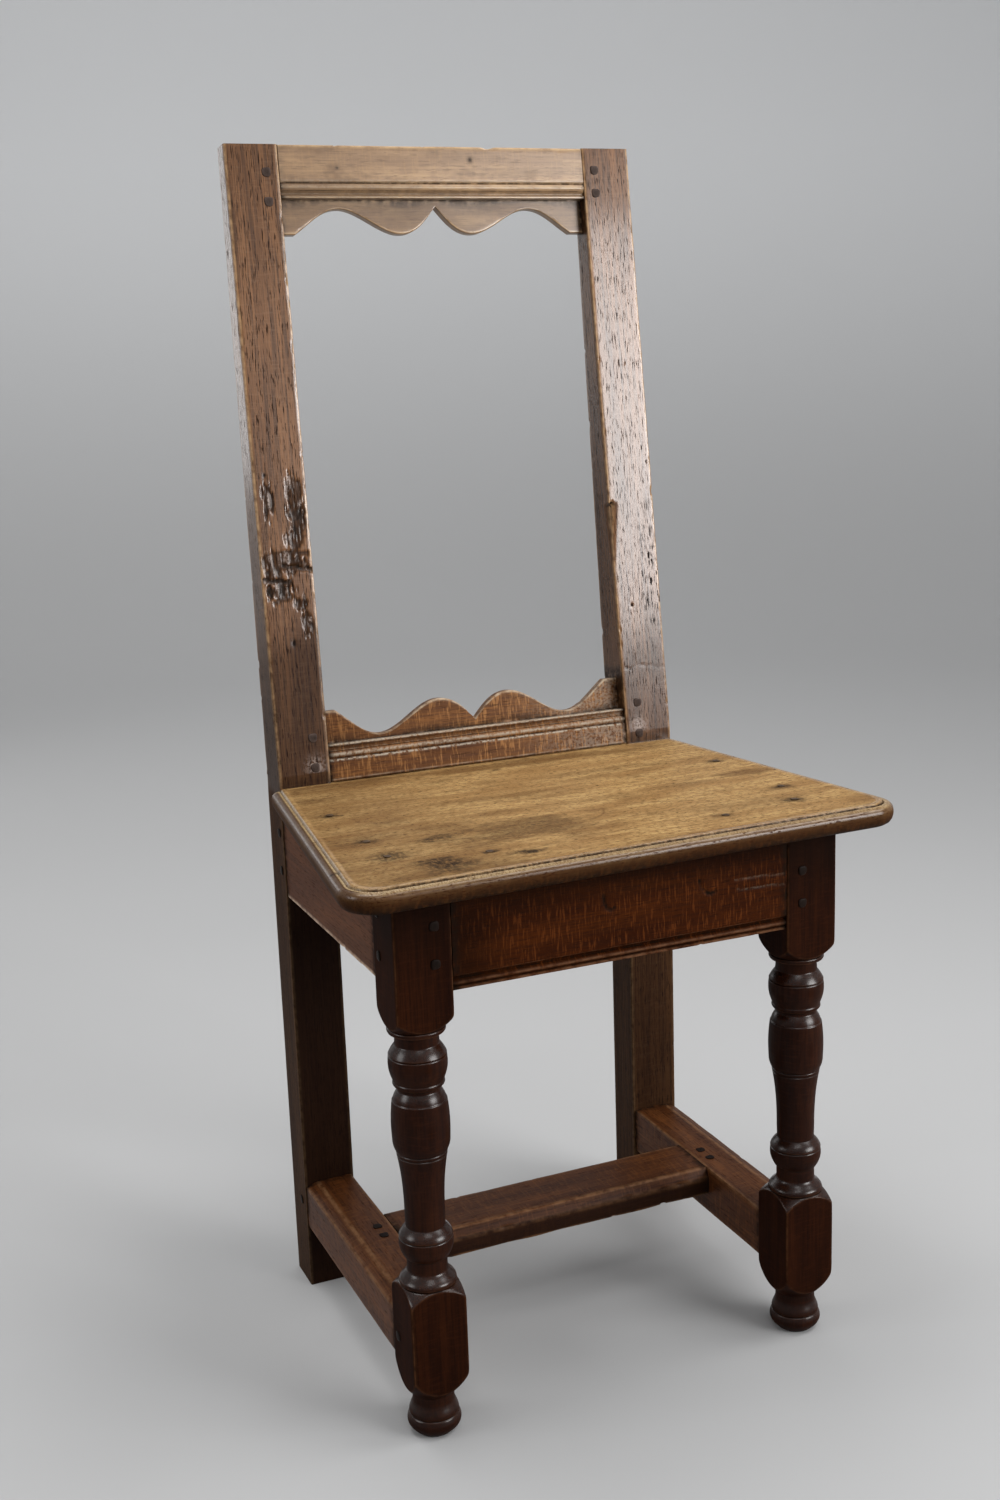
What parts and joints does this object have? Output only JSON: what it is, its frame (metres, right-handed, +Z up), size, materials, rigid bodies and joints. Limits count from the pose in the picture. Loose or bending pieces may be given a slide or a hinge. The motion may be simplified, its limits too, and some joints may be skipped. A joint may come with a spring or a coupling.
{
  "type": "backstool",
  "caption": "Joined oak side chair with an open back between scalloped rails, a board seat with a moulded edge, turned front legs and low stretchers.",
  "frame": {"origin": "on the floor, under the middle of the chair's bounding box", "axes": "+X to the viewer's right when facing the chair, +Y from the front of the seat to the back, +Z up"},
  "size_m": [0.4606, 0.3932, 0.98],
  "materials": {
    "oak_back": "mid-brown waxed oak with long dark grain and pale worn edges",
    "oak_seat": "honey-golden polished oak, grain from side to side",
    "oak_frame": "dark red-brown waxed oak with orange ray fleck",
    "oak_peg": "dark matt end grain"
  },
  "bodies": {
    "root": {"rear_post_left": "oak_back", "rear_post_right": "oak_back", "crest_rail": "oak_back", "lower_back_rail": "oak_back", "seat_board": "oak_seat", "front_leg_left": "oak_frame", "front_leg_right": "oak_frame", "front_seat_rail": "oak_frame", "rear_seat_rail": "oak_frame", "side_seat_rail_left": "oak_frame", "side_seat_rail_right": "oak_frame", "side_stretcher_left": "oak_frame", "side_stretcher_right": "oak_frame", "medial_stretcher": "oak_frame", "crest_peg_left_1": "oak_peg", "crest_peg_left_2": "oak_peg", "crest_peg_right_1": "oak_peg", "crest_peg_right_2": "oak_peg", "lower_back_peg_left_1": "oak_peg", "lower_back_peg_left_2": "oak_peg", "lower_back_peg_right_1": "oak_peg", "lower_back_peg_right_2": "oak_peg", "front_rail_peg_left_1": "oak_peg", "front_rail_peg_left_2": "oak_peg", "front_rail_peg_right_1": "oak_peg", "front_rail_peg_right_2": "oak_peg", "rear_rail_peg_left_1": "oak_peg", "rear_rail_peg_left_2": "oak_peg", "rear_rail_peg_right_1": "oak_peg", "rear_rail_peg_right_2": "oak_peg", "side_rail_peg_left_front_1": "oak_peg", "side_rail_peg_left_front_2": "oak_peg", "side_rail_peg_left_rear_1": "oak_peg", "side_rail_peg_left_rear_2": "oak_peg", "side_rail_peg_right_front_1": "oak_peg", "side_rail_peg_right_front_2": "oak_peg", "side_rail_peg_right_rear_1": "oak_peg", "side_rail_peg_right_rear_2": "oak_peg", "stretcher_peg_left_front": "oak_peg", "stretcher_peg_left_rear": "oak_peg", "stretcher_peg_right_front": "oak_peg", "stretcher_peg_right_rear": "oak_peg", "medial_peg_left_1": "oak_peg", "medial_peg_left_2": "oak_peg", "medial_peg_right_1": "oak_peg", "medial_peg_right_2": "oak_peg", "seat_peg_left_1": "oak_peg", "seat_peg_left_2": "oak_peg", "seat_peg_left_leg": "oak_peg", "seat_peg_right_1": "oak_peg", "seat_peg_right_2": "oak_peg", "seat_peg_right_leg": "oak_peg", "seat_peg_front_left": "oak_peg", "seat_peg_front_right": "oak_peg"}
  },
  "joints": []
}
